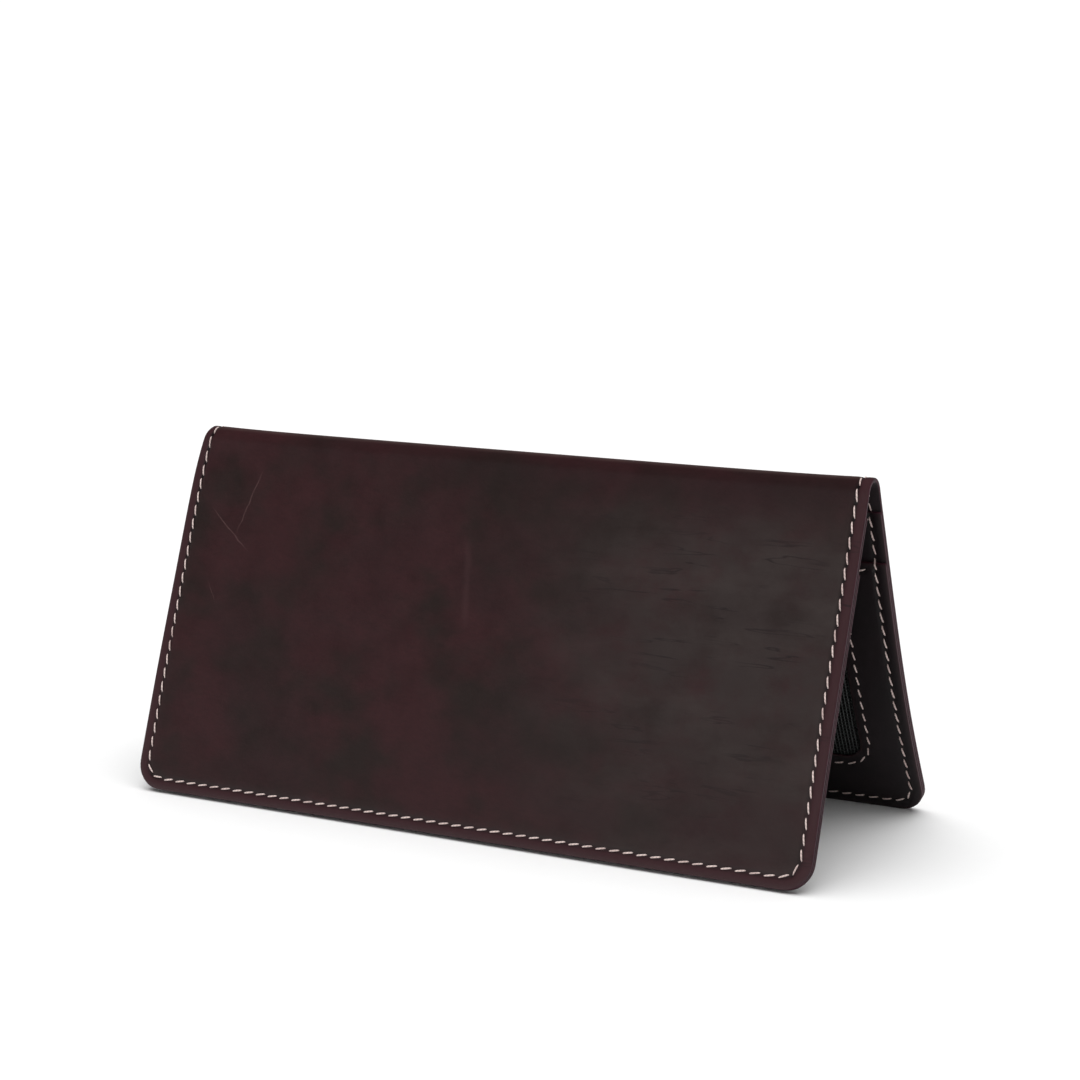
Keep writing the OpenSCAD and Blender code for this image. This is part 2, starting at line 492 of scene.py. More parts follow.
def thread_piece(name, sizes, runs):
    """One object for the stitches of a seam. Each run is (holes, face height, outside)."""
    bm = bmesh.new()
    bm.loops.layers.uv.new("thread")
    for holes, face_h, outside in runs:
        sew(bm, sizes, holes, face_h, outside)
    for face in bm.faces:
        face.smooth = True
    return make_object(name, bm, [finish_of("thread")])


# ---- materials ----

RGBA = {"out": 2, "data_type": "RGBA"}
MULTIPLY = {**RGBA, "blend_type": "MULTIPLY"}
SMOOTH = {"interpolation_type": "SMOOTHSTEP"}
# Painted shade in the seams' grooves and in and beside the needle holes, and the thread's soil
NEEDLE_SHADE, SOIL = srgb("0D0708"), srgb("9A7B78")
# Pale patches, a painted crest highlight, scratches and a pressed line from use, and painted shade in
# creases
RIGHT_END_PALE, CREST_HIGHLIGHT, SCRATCH = srgb("3C3432"), srgb("4E3C3A"), srgb("584040")
PRESSED, CREASE_SHADE = srgb("4A3234"), srgb("180F10")
# Scratches in the cover's wax: start, end and width, in millimetres on the hide
COVER_SCRATCHES = (
    ((-73.0, -10.5), (-78.0, -29.5), 0.30),
    ((-87.5, -22.0), (-72.5, -33.5), 0.28),
    ((-84.5, -41.0), (-80.0, -48.0), 0.18),
    ((-30.0, 44.0), (-14.0, 52.0), 0.28),
    ((42.0, 63.0), (50.0, 41.0), 0.30),
)
# The ghost of an edge that was pressed into the front, given the same way
PRESSED_LINE = ((-8.5, -23.0), (-4.8, -47.5), 1.5)


def feed(target, inputs):
    """Sets or links a node's inputs, which are given by name or number."""
    for key, value in inputs.items():
        if isinstance(value, bpy.types.NodeSocket):
            target.id_data.links.new(value, target.inputs[key])
        else:
            target.inputs[key].default_value = value


def add_node(tree, kind, inputs, out=0, **settings):
    """Adds a node with its own settings and its inputs, and returns the output numbered out."""
    made = tree.nodes.new("ShaderNode" + kind)
    for key, value in settings.items():
        setattr(made, key, value)
    feed(made, inputs)
    return made.outputs[out]


def new_material(name):
    """A material with a name, the function that adds nodes to it, and its main shader."""
    material = bpy.data.materials.new(name)
    material.use_nodes = True
    tree = material.node_tree
    return material, partial(add_node, tree), tree.nodes["Principled BSDF"]


def dimmed(colour, share):
    """A colour at a share of its brightness."""
    return (*(channel * share for channel in colour[:3]), 1.0)


def hide_millimetres(add):
    """The leather's own flat coordinates, in millimetres."""
    return add("VectorMath", {0: add("UVMap", {}, uv_map="hide"), "Scale": 1 / MM}, operation="SCALE")


def grain_height(add, hide):
    """Height of the grain: small pebbles between fine creases, with a finer tooth on top.

    Real pebbles are about 0.5 mm across and the tooth's pores 0.1 mm. Both would be too fine to
    show, so they are drawn coarser.
    """
    wander = add("TexNoise", {"Vector": hide, "Scale": 1 / 1.9}, out=1)
    moved = add("VectorMath", {0: wander, 1: (0.8, 0.8, 0.8), 2: hide}, operation="MULTIPLY_ADD")
    pebbles = add(
        "TexVoronoi", {"Vector": moved, "Scale": 1 / 0.85, "Smoothness": 0.35}, feature="SMOOTH_F1")
    tooth = add("TexNoise", {"Vector": hide, "Scale": 1 / 0.28, "Detail": 3.0, "Roughness": 0.6})
    sunk = add("Math", {0: pebbles, 1: -0.9}, operation="MULTIPLY")
    return add("Math", {0: tooth, 1: 0.35, 2: sunk}, operation="MULTIPLY_ADD")


def line_mark(add, hide, start, end, width_mm):
    """A mask that follows a slightly wandering line on the hide, and fades at both its ends."""
    run = Vector(end) - Vector(start)
    turn = (0, 0, math.atan2(run.y, run.x))
    placed = {"Vector": hide, "Location": (*start, 0), "Rotation": turn}
    along = add("Mapping", placed, vector_type="TEXTURE")
    wobble = add("TexNoise", {"Vector": hide, "Scale": 1 / 4.0, "Detail": 1.0})
    drift = add("Math", {0: wobble, 1: 1.2, 2: -0.6}, operation="MULTIPLY_ADD")
    across = add("Math", {0: drift, 1: add("SeparateXYZ", {0: along}, out=1)}, operation="ADD")
    across = add("Math", {0: across}, operation="ABSOLUTE")
    near = add("MapRange", {0: across, 1: 0.0, 2: width_mm, 3: 1.0, 4: 0.0}, **SMOOTH)
    half = run.length / 2
    middle = add("Math", {0: add("SeparateXYZ", {0: along}), 1: half}, operation="SUBTRACT")
    middle = add("Math", {0: middle}, operation="ABSOLUTE")
    within = add("MapRange", {0: middle, 1: half - 5, 2: half, 3: 1.0, 4: 0.0}, **SMOOTH)
    return add("Math", {0: near, 1: within}, operation="MULTIPLY")


def seam_shade_colour(add, base, groove_shade_share):
    """Paints shade into a leather colour in its seams' grooves and round its needle holes."""
    seam = add("Attribute", {}, out=2, attribute_name="seam_gap")
    hole = add("Attribute", {}, out=2, attribute_name="hole_gap")
    groove_shade = add("MapRange", {0: seam, 1: 0.15, 2: 1.1, 3: groove_shade_share, 4: 0.0}, **SMOOTH)
    hole_shade = add("MapRange", {0: hole, 1: 0.3, 2: 0.75, 3: 0.9, 4: 0.0}, **SMOOTH)
    base = add("Mix", {0: groove_shade, 6: base, 7: NEEDLE_SHADE}, **RGBA)
    return add("Mix", {0: hole_shade, 6: base, 7: NEEDLE_SHADE}, **RGBA)


def cover_clouds(add, hide, wax, colours):
    """The cover's clouded colour, before its marks: red brown where the wax is thin."""
    broad = add("Mapping", {"Vector": hide, "Scale": (0.7, 1, 1)})
    clouds = add(
        "TexNoise",
        {"Vector": broad, "Scale": 1 / 34, "Detail": 4.0, "Roughness": 0.55, "Distortion": 0.4})
    clouds = add("MapRange", {0: clouds, 1: 0.40, 2: 0.60}, **SMOOTH)
    base = add("Mix", {0: clouds, 6: tuple(colours.cover_red), 7: tuple(colours.cover)}, **RGBA)
    turned = add("Mapping", {"Vector": hide, "Scale": (0.8, 1, 1), "Rotation": (0, 0, 0.4)})
    dark = add("TexNoise", {"Vector": turned, "Scale": 1 / 22, "Detail": 3.0, "Roughness": 0.6})
    dark = add("MapRange", {0: dark, 1: 0.40, 2: 0.68, 4: 0.95}, **SMOOTH)
    base = add("Mix", {0: dark, 6: base, 7: tuple(colours.cover_dark)}, **RGBA)
    fine = add("Mapping", {"Vector": hide, "Scale": (0.45, 1, 1), "Rotation": (0, 0, 0.5)})
    fibres = add("TexNoise", {"Vector": fine, "Scale": 1 / 0.9, "Detail": 3.0, "Roughness": 0.7})
    fibres = add("MapRange", {0: fibres, 1: 0.28, 2: 0.74, 3: 0.86, 4: 1.14})
    base = add("Mix", {0: 1.0, 6: base, 7: fibres}, **MULTIPLY)
    bloom = add("MapRange", {0: wax, 1: 0.30, 2: 0.72, 3: 0.88, 4: 1.10})
    return add("Mix", {0: 1.0, 6: base, 7: bloom}, **MULTIPLY)


def right_end_mask(add, hide):
    """A mask over the front, towards its right end and most above its foot."""
    x, s = add("SeparateXYZ", {0: hide}), add("SeparateXYZ", {0: hide}, out=1)
    right = add("MapRange", {0: x, 1: -5.0, 2: 62.0}, **SMOOTH)
    front = add("MapRange", {0: s, 1: -24.0, 2: -4.0, 3: 1.0, 4: 0.0}, **SMOOTH)
    higher_up = add("MapRange", {0: s, 1: -90.0, 2: -50.0, 3: 0.5, 4: 1.0}, **SMOOTH)
    higher_up = add("Math", {0: higher_up, 1: front}, operation="MULTIPLY")
    return add("Math", {0: right, 1: higher_up}, operation="MULTIPLY")


def right_end_grey(add, hide, base, right_end, colours):
    """Greys the leather in patches, and paler spots, towards the front's right end."""
    patches = add("TexNoise", {"Vector": hide, "Scale": 1 / 13, "Detail": 6.0, "Roughness": 0.68})
    patches = add("MapRange", {0: patches, 1: 0.30, 2: 0.62, 3: 0.35, 4: 1.0}, **SMOOTH)
    # Greys the front in patches towards its right end
    waxed = add("Math", {0: right_end, 1: patches}, operation="MULTIPLY")
    base = add("Mix", {0: waxed, 6: base, 7: tuple(colours.cover_grey)}, **RGBA)
    long = add("Mapping", {"Vector": hide, "Scale": (0.4, 1, 1)})
    pale_patches = add("TexNoise", {"Vector": long, "Scale": 1 / 11, "Detail": 6.0, "Roughness": 0.65})
    pale_patches = add("MapRange", {0: pale_patches, 1: 0.42, 2: 0.72, 4: 0.5}, **SMOOTH)
    paled = add("Math", {0: right_end, 1: pale_patches}, operation="MULTIPLY")
    return add("Mix", {0: paled, 6: base, 7: RIGHT_END_PALE}, **RGBA)


def bend_shade_and_crest_highlight(add, hide, base, wax, colours):
    """Paints shade over the bend, more to the right, and a painted highlight along its very crest."""
    x, s = add("SeparateXYZ", {0: hide}), add("SeparateXYZ", {0: hide}, out=1)
    from_crest = add("Math", {0: s}, operation="ABSOLUTE")
    # Painted shade over the bend, more towards the right
    bend = add("MapRange", {0: from_crest, 1: 2.0, 2: 15.0, 3: 0.45, 4: 0.0}, **SMOOTH)
    rightward_shade = add("MapRange", {0: x, 1: -75.0, 2: 25.0, 3: 0.1, 4: 1.0}, **SMOOTH)
    bend = add("Math", {0: bend, 1: rightward_shade}, operation="MULTIPLY")
    base = add("Mix", {0: bend, 6: base, 7: dimmed(colours.cover_red, 0.42)}, **RGBA)
    # Painted highlight along the very crest
    rubbed = add("MapRange", {0: from_crest, 1: 0.4, 2: 2.2, 3: 0.85, 4: 0.0}, **SMOOTH)
    rubbed = add("Math", {0: rubbed, 1: wax}, operation="MULTIPLY")
    return add("Mix", {0: rubbed, 6: base, 7: CREST_HIGHLIGHT}, **RGBA)


def scratched_colour(add, hide, base):
    """Pales the leather along its scratches and its pressed line. Returns the scratches too."""
    marks = 0.0
    for start, end, width in COVER_SCRATCHES:
        mark = line_mark(add, hide, start, end, width)
        marks = add("Math", {0: marks, 1: mark}, operation="MAXIMUM")
    patchy = add("TexNoise", {"Vector": hide, "Scale": 1 / 1.5})
    scratched = add("Math", {0: marks, 1: patchy}, operation="MULTIPLY")
    base = add("Mix", {0: scratched, 6: base, 7: SCRATCH}, **RGBA)
    pressed = line_mark(add, hide, *PRESSED_LINE)
    pressed = add("Math", {0: pressed, 1: 0.2}, operation="MULTIPLY")
    return add("Mix", {0: pressed, 6: base, 7: PRESSED}, **RGBA), marks


def fine_creases(add, hide, right_end):
    """A mask of short fine creases along the fold, where the hand bends the leather."""
    flat = add("Mapping", {"Vector": hide, "Scale": (0.11, 1, 1)})
    lines = add("TexNoise", {"Vector": flat, "Scale": 1 / 2.1, "Distortion": 0.3})
    lines = add("Math", {0: lines, 1: 0.6}, operation="SUBTRACT")
    lines = add("Math", {0: lines}, operation="ABSOLUTE")
    lines = add("MapRange", {0: lines, 1: 0.0, 2: 0.04, 3: 1.0, 4: 0.0}, **SMOOTH)
    wide = add("Mapping", {"Vector": hide, "Scale": (0.6, 1, 1)})
    here = add("TexNoise", {"Vector": wide, "Scale": 1 / 12, "Detail": 1.0})
    here = add("MapRange", {0: here, 1: 0.46, 2: 0.60}, **SMOOTH)
    here = add("Math", {0: here, 1: right_end}, operation="MULTIPLY")
    return add("Math", {0: lines, 1: here}, operation="MULTIPLY")


def cover_leather(colours):
    """Waxed pull-up cowhide, drum dyed oxblood, hot stuffed with wax and lightly plated.

    The wax lies unevenly, so it clouds from red brown to near black, pales where it is scratched,
    greys towards the front's right end and shines broadly over a fine low grain. Painted shade
    darkens its bend, creases and seams, and a painted highlight runs along its crest.
    """
    material, add, shader = new_material("waxed pull-up leather, oxblood")
    hide = hide_millimetres(add)
    wax = add("TexNoise", {"Vector": hide, "Scale": 1 / 7.5, "Detail": 5.0, "Roughness": 0.62})
    right_end = right_end_mask(add, hide)
    base = cover_clouds(add, hide, wax, colours)
    base = right_end_grey(add, hide, base, right_end, colours)
    base = bend_shade_and_crest_highlight(add, hide, base, wax, colours)
    gap = add("Attribute", {}, out=2, attribute_name="edge_gap")
    margin = add("MapRange", {0: gap, 1: 2.3, 2: 3.4, 3: 1.0, 4: 0.0}, **SMOOTH)
    base = add("Mix", {0: margin, 6: base, 7: tuple(colours.margin)}, **RGBA)
    # Painted shade in the seams' grooves and round the needle holes
    base = seam_shade_colour(add, base, 0.45)
    base, marks = scratched_colour(add, hide, base)
    creases = fine_creases(add, hide, right_end)
    # Painted shade along the fine creases
    crease_shade = add("Math", {0: creases, 1: 0.7}, operation="MULTIPLY")
    base = add("Mix", {0: crease_shade, 6: base, 7: CREASE_SHADE}, **RGBA)

    height = add("Math", {0: creases, 1: -1.2, 2: grain_height(add, hide)}, operation="MULTIPLY_ADD")
    height = add("Math", {0: marks, 1: -0.8, 2: height}, operation="MULTIPLY_ADD")
    bump = add("Bump", {"Strength": 0.30, "Distance": 0.06 * MM, "Height": height})
    swell = add("TexNoise", {"Vector": hide, "Scale": 1 / 15})
    soft = add("Bump", {"Strength": 0.35, "Distance": 0.5 * MM, "Height": swell, "Normal": bump})
    rough = add("MapRange", {0: wax, 1: 0.25, 2: 0.75, 3: 0.40, 4: 0.56})
    feed(shader, {
        "Base Color": base, "Roughness": rough, "Normal": soft, "IOR": 1.5, "Specular IOR Level": 0.32})
    return material


def shaded_pocket_leather(name, tint, colours):
    """The same hide split thinner, even and matt, in a darker colour that paints in the shade inside the
    wallet.
    """
    material, add, shader = new_material(name)
    hide = hide_millimetres(add)
    clouds = add("TexNoise", {"Vector": hide, "Scale": 1 / 20, "Detail": 4.0, "Roughness": 0.6})
    shade = add("MapRange", {0: clouds, 1: 0.35, 2: 0.7}, **SMOOTH)
    main = dimmed(colours.pocket, tint)
    base = add("Mix", {0: shade, 6: main, 7: dimmed(main, 0.62)}, **RGBA)
    gap = add("Attribute", {}, out=2, attribute_name="edge_gap")
    worn = add("MapRange", {0: gap, 1: 0.0, 2: 1.2, 3: 0.35, 4: 0.0}, **SMOOTH)
    base = add("Mix", {0: worn, 6: base, 7: tuple(colours.margin)}, **RGBA)
    # Painted shade in the seams' grooves and round the needle holes
    base = seam_shade_colour(add, base, 0.5)
    bump = add("Bump", {"Strength": 0.35, "Distance": 0.06 * MM, "Height": grain_height(add, hide)})
    rough = add("MapRange", {0: clouds, 1: 0.3, 2: 0.7, 3: 0.48, 4: 0.62})
    feed(shader, {"Base Color": base, "Roughness": rough, "Normal": bump, "Specular IOR Level": 0.3})
    return material


def flesh_side(colours):
    """The underside of the hide, buffed to a short nap that scatters light and has no shine."""
    material, add, shader = new_material("leather flesh side, buffed")
    hide = hide_millimetres(add)
    # The nap's fibres would be too fine to show, so they are drawn coarser, in tufts of 0.45 mm
    nap = add("TexNoise", {"Vector": hide, "Scale": 1 / 0.45, "Detail": 5.0, "Roughness": 0.7})
    blotch = add("TexNoise", {"Vector": hide, "Scale": 1 / 9, "Detail": 3.0})
    blotch = add("MapRange", {0: blotch, 1: 0.3, 2: 0.7}, **SMOOTH)
    base = add("Mix", {0: blotch, 6: tuple(colours.flesh), 7: dimmed(colours.flesh, 0.7)}, **RGBA)
    speckle = add("MapRange", {0: nap, 1: 0.25, 2: 0.75, 3: 0.75, 4: 1.2})
    base = add("Mix", {0: 1.0, 6: base, 7: speckle}, **MULTIPLY)
    bump = add("Bump", {"Strength": 0.6, "Distance": 0.12 * MM, "Height": nap})
    feed(shader, {
        "Base Color": base, "Normal": bump, "Roughness": 0.9, "Specular IOR Level": 0.25,
        "Sheen Weight": 0.12,
    })
    return material


def cut_edge(colours):
    """Cut leather edge, dyed and rubbed with wax until its fibres lie down to a dull polish."""
    material, add, shader = new_material("burnished leather edge")
    hide = hide_millimetres(add)
    flat = add("Mapping", {"Vector": hide, "Scale": (0.35, 0.35, 1)})
    fibres = add("TexNoise", {"Vector": flat, "Scale": 1 / 0.6, "Detail": 4.0, "Roughness": 0.65})
    shade = add("MapRange", {0: fibres, 1: 0.3, 2: 0.72}, **SMOOTH)
    base = add("Mix", {0: shade, 6: tuple(colours.edge), 7: dimmed(colours.edge, 0.5)}, **RGBA)
    bump = add("Bump", {"Strength": 0.4, "Distance": 0.08 * MM, "Height": fibres})
    feed(shader, {"Base Color": base, "Normal": bump, "Roughness": 0.6, "Specular IOR Level": 0.25})
    return material


def waxed_thread(colours):
    """Three-ply waxed polyester thread: a slanting twist, with painted shade between its plies."""
    material, add, shader = new_material("waxed polyester thread")
    flat = add("UVMap", {}, uv_map="thread")
    round_it, along = add("SeparateXYZ", {0: flat}), add("SeparateXYZ", {0: flat}, out=1)
    # A ply comes up about every 0.6 mm, so five of them show on each stitch
    turns = add("Math", {0: along, 1: 5.0, 2: round_it}, operation="MULTIPLY_ADD")
    turns = add("Math", {0: turns, 1: 2 * math.pi}, operation="MULTIPLY")
    ply = add("Math", {0: turns}, operation="SINE")
    # Painted shade in the hollows between the plies
    ply_shade = add("MapRange", {0: ply, 1: -1.0, 2: 0.2, 3: 0.55, 4: 0.0}, **SMOOTH)
    base = add("Mix", {0: ply_shade, 6: tuple(colours.thread), 7: dimmed(colours.thread, 0.45)}, **RGBA)
    place = add("TexCoord", {}, out=3)
    soil = add("TexNoise", {"Vector": place, "Scale": 1 / (5 * MM)})
    soil = add("MapRange", {0: soil, 1: 0.42, 2: 0.75, 4: 0.55}, **SMOOTH)
    base = add("Mix", {0: soil, 6: base, 7: SOIL}, **RGBA)
    bump = add("Bump", {"Strength": 0.5, "Distance": 0.04 * MM, "Height": ply})
    feed(shader, {"Base Color": base, "Normal": bump, "Roughness": 0.55, "Sheen Weight": 0.2})
    return material


def nylon_net(colours):
    """Heat-set nylon monofilament net, dyed black, with the wet glints of smooth round strands."""
    material, add, shader = new_material("nylon monofilament net")
    place = add("TexCoord", {}, out=3)
    dust = add("TexNoise", {"Vector": place, "Scale": 1 / (3 * MM), "Detail": 3.0})
    dusty = add("MapRange", {0: dust, 1: 0.5, 2: 0.8, 4: 0.7}, **SMOOTH)
    base = add("Mix", {0: dusty, 6: tuple(colours.net), 7: dimmed(colours.net, 2.4)}, **RGBA)
    rough = add("MapRange", {0: dust, 1: 0.3, 2: 0.7, 3: 0.28, 4: 0.45})
    feed(shader, {"Base Color": base, "Roughness": rough})
    return material


def paper_sweep(colours):
    """Matt seamless background paper: bare pulp with a faint tooth."""
    material, add, shader = new_material("matt paper sweep")
    place = add("TexCoord", {}, out=3)
    pulp = add("TexNoise", {"Vector": place, "Scale": 1 / (4 * MM), "Detail": 3.0})
    base = add("Mix", {0: pulp, 6: tuple(colours.floor), 7: dimmed(colours.floor, 0.985)}, **RGBA)
    feed(shader, {"Base Color": base, "Roughness": 0.95, "Specular IOR Level": 0.1})
    return material


MAKERS = {
    "cover": cover_leather,
    "pocket": partial(shaded_pocket_leather, "waxed pull-up leather, pocket split", 1.0),
    "card": partial(shaded_pocket_leather, "waxed pull-up leather, card pocket split", 1.18),
    "flesh": flesh_side,
    "edge": cut_edge,
    "thread": waxed_thread,
    "net": nylon_net,
    "paper": paper_sweep,
}
made_materials = {}


def finish_of(name):
    """A material by its short name, made the first time that a piece asks for it."""
    if name not in made_materials:
        made_materials[name] = MAKERS[name](bpy.context.scene.wallet_colours)
    return made_materials[name]


def leather_finishes(grain):
    """The grain side, flesh side and cut edge, in the order of a leather piece's material slots."""
    return [finish_of(grain), finish_of("flesh"), finish_of("edge")]


# ---- pieces ----

# Stitches this near the fold's crest belong to the fold
SPINE_RUN = 9.2 * MM
GRID_STEP, CARD_GRID_STEP, BEND_GRID_STEP = 1.81 * MM, 2.2 * MM, 0.6 * MM
# How far the cut edges are rounded off
COVER_EDGE, POCKET_EDGE, CARD_EDGE = 0.3 * MM, 0.18 * MM, 0.15 * MM
# A lip seam's distance below its lip, and from its ends to the ends of the leather
LIP_SEAM_DROP, LIP_SEAM_END = 2.1 * MM, 5 * MM
# Lip seams nearer the fold than this are the bill pockets'
BILL_SEAMS_ABOVE = 18 * MM
# How far below its edge a lifted pocket mouth lies down again
MOUTH_DEPTH = 5 * MM
WINDOW_SEAM_GAP = 2.4 * MM
# Grid lines this near an opening's rims are left out
RIM_CLEAR = 0.6 * MM
# The net reaches this far behind the leather round the opening, which is pared back for it
NET_MARGIN, NET_RECESS = 4 * MM, 0.3 * MM
# How much smaller than its box the net is cut, and how far its strands go up and down
NET_TRIM, NET_WEAVE = 0.6 * MM, 0.05 * MM
CARD_SEAM_INSET, CARD_SEAM_START, CARD_CORNER = 1.6 * MM, 0.6 * MM, 1.2 * MM


def body_of(side):
    """The body of the panel on a side: -1 for the front, 1 for the back."""
    return BACK if side > 0 else FRONT


def add_piece(piece, node, side):
    """Puts a rigid piece on its panel, in place of its CAD node."""
    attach(piece, body_of(side))
    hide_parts(node)


def fold_over(piece):
    """Bakes a piece's placement into its mesh, and attaches it to neither panel."""
    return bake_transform(piece)


class WALLET_OT_cover(bpy.types.Operator):
    """Cuts the cover in one piece, punches its edge seam and folds it over"""

    bl_idname = "wallet.cover"
    bl_label = "Cover"

    def execute(self, context):
        sizes = context.scene.wallet_sizes
        outline = cover_outline(sizes)
        seam = outline.grown(-sizes.seam_inset)
        seams_x, seams_s = (-seam.half_w, seam.half_w), (-seam.half_h, seam.half_h)
        xs = cut_lines(-section.half_length, section.half_length, GRID_STEP, seams_x)
        ss = cut_lines(-section.height, section.height, GRID_STEP, seams_s)
        bend = section.half_fold * 1.5
        ss = [s for s in ss if abs(s) > bend] + spaced(-bend, bend, BEND_GRID_STEP)
        bm = bmesh.new()
        flat_sheet(bm, xs, sorted(ss))
        round_corners(bm, outline, (-1, 1))
        thicken(bm, 0.0, -section.cover_t, COVER_EDGE)
        cover = finish_leather(
            "cover", bm, sizes, True, lambda x, s: abs(seam.gap(x, s)), Holes(edge_seam(sizes)),
            outline.gap, lambda x, s: 0.0, leather_finishes("cover"))
        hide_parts("front_cover", "spine_fold", "back_cover")
        fold_over(cover)
        return {"FINISHED"}


def mouth_lift(sizes, x, x0, x1, below_lip):
    """How far a mouth stands off at a place below its lip, most in the middle of its length."""
    across = math.sin(math.pi * min(max((x - x0) / (x1 - x0), 0), 1))
    return sizes.lip_lift * across * math.exp(-((below_lip / MOUTH_DEPTH) ** 2))


def with_rims(lines, rims):
    """Grid lines that have an opening's rims among them, and nothing close beside those."""
    kept = [line for line in lines if min(abs(line - rim) for rim in rims) > RIM_CLEAR]
    return sorted([*kept, *rims])


def pare_back(bm, opening, face_h):
    """Thins the leather round an opening, on the face towards the cover, where the net lies."""
    net = opening.grown(NET_MARGIN)
    for vert in bm.verts:
        if net.gap(vert.co.x, vert.co.y) > -0.2 * MM and vert.co.z > face_h - 0.1 * MM:
            vert.co.z -= NET_RECESS


def panel_layer(node, sizes, side, opening=None):
    """A full-width layer inside a panel, from its lip down to the free edge."""
    flat = FlatBox(node)
    outline = cover_outline(sizes)
    edge = outline.grown(-sizes.seam_inset)
    lip_seam = flat.upper + LIP_SEAM_DROP
    xs = cut_lines(-section.half_length, section.half_length, GRID_STEP, (-edge.half_w, edge.half_w))
    vs = cut_lines(flat.upper, section.height, GRID_STEP, (lip_seam, edge.half_h))
    if opening:
        xs = with_rims(xs, (opening.cx - opening.half_w, opening.cx + opening.half_w))
        vs = with_rims(vs, (opening.cy - opening.half_h, opening.cy + opening.half_h))
    bm = bmesh.new()
    flat_sheet(bm, xs, sorted(side * v for v in vs))
    if opening:
        cut_window(bm, opening)
    round_corners(bm, outline, (side,))
    thicken(bm, -flat.outer, -flat.inner, POCKET_EDGE)
    frame_seam = None
    if opening:
        frame_seam = opening.grown(WINDOW_SEAM_GAP)
        pare_back(bm, opening, -flat.outer)

    def seam_gap(x, s):
        near = abs(edge.gap(x, s))
        if abs(x) < section.half_length - LIP_SEAM_END:
            near = min(near, abs(abs(s) - lip_seam))
        if frame_seam:
            near = min(near, abs(frame_seam.gap(x, s)))
        return near

    def edge_gap(x, s):
        near = min(outline.gap(x, s), abs(s) - flat.upper)
        return min(near, -opening.gap(x, s)) if opening else near

    holes = edge_seam(sizes) + lip_holes(sizes, lip_seam, side)
    piece = finish_leather(
        node + "_leather", bm, sizes, False, seam_gap, Holes(holes), edge_gap,
        lambda x, s: mouth_lift(sizes, x, -edge.half_w, edge.half_w, abs(s) - flat.upper),
        leather_finishes("pocket"))
    add_piece(piece, node, side)


def lip_holes(sizes, lip_seam, side):
    """Needle holes of a lip seam. The bill pockets' seams run out to the edge seam."""
    end = sizes.seam_inset if lip_seam < BILL_SEAMS_ABOVE else LIP_SEAM_END
    half = section.half_length - end
    return straight_seam((-half, side * lip_seam), (half, side * lip_seam), sizes.stitch)


def window_opening(sizes):
    """The opening in the window pocket, on the back panel, from the net's own box."""
    net = FlatBox("window_net")
    cx, cy = net.middle
    half_w, half_h = (net.x1 - net.x0) / 2, (net.lower - net.upper) / 2
    return RoundRect(cx, cy, half_w - NET_MARGIN, half_h - NET_MARGIN, sizes.window_corner)


class WALLET_OT_bill_pockets(bpy.types.Operator):
    """Lays a full-width bill pocket inside each panel"""

    bl_idname = "wallet.bill_pockets"
    bl_label = "Bill pockets"

    def execute(self, context):
        sizes = context.scene.wallet_sizes
        panel_layer("front_bill_pocket", sizes, -1)
        panel_layer("back_bill_pocket", sizes, 1)
        return {"FINISHED"}


class WALLET_OT_card_panel(bpy.types.Operator):
    """Lays the panel that carries the card pockets inside the front"""

    bl_idname = "wallet.card_panel"
    bl_label = "Card panel"

    def execute(self, context):
        panel_layer("card_panel", context.scene.wallet_sizes, -1)
        return {"FINISHED"}


class WALLET_OT_window_pocket(bpy.types.Operator):
    """Lays the pocket with the window opening inside the back"""

    bl_idname = "wallet.window_pocket"
    bl_label = "Window pocket"

    def execute(self, context):
        sizes = context.scene.wallet_sizes
        panel_layer("window_pocket", sizes, 1, window_opening(sizes))
        return {"FINISHED"}


class WALLET_OT_window_net(bpy.types.Operator):
    """Stretches the net behind the window opening"""

    bl_idname = "wallet.window_net"
    bl_label = "Window net"

    def execute(self, context):
        sizes = context.scene.wallet_sizes
        flat = FlatBox("window_net")
        xs = spaced(flat.x0 + NET_TRIM, flat.x1 - NET_TRIM, sizes.net_pitch)
        ss = spaced(flat.upper + NET_TRIM, flat.lower - NET_TRIM, sizes.net_pitch)
        bm = bmesh.new()
        flat_sheet(bm, xs, ss)
        middle = -(flat.outer + flat.inner) / 2
        for vert in bm.verts:
            column = round((vert.co.x - xs[0]) / (xs[1] - xs[0]))
            row = round((vert.co.y - ss[0]) / (ss[1] - ss[0]))
            vert.co.z = middle + (NET_WEAVE if (column + row) % 2 else -NET_WEAVE)
        bmesh.ops.wireframe(
            bm, faces=bm.faces[:], thickness=sizes.net_strand, use_replace=True, use_boundary=True,
            use_even_offset=True)
        bmesh.ops.recalc_face_normals(bm, faces=bm.faces[:])
        for vert in bm.verts:
            vert.co = laid(sizes, *vert.co)
        net = make_object("window_net_strands", bm, [finish_of("net")])
        add_piece(net, "window_net", 1)
        return {"FINISHED"}


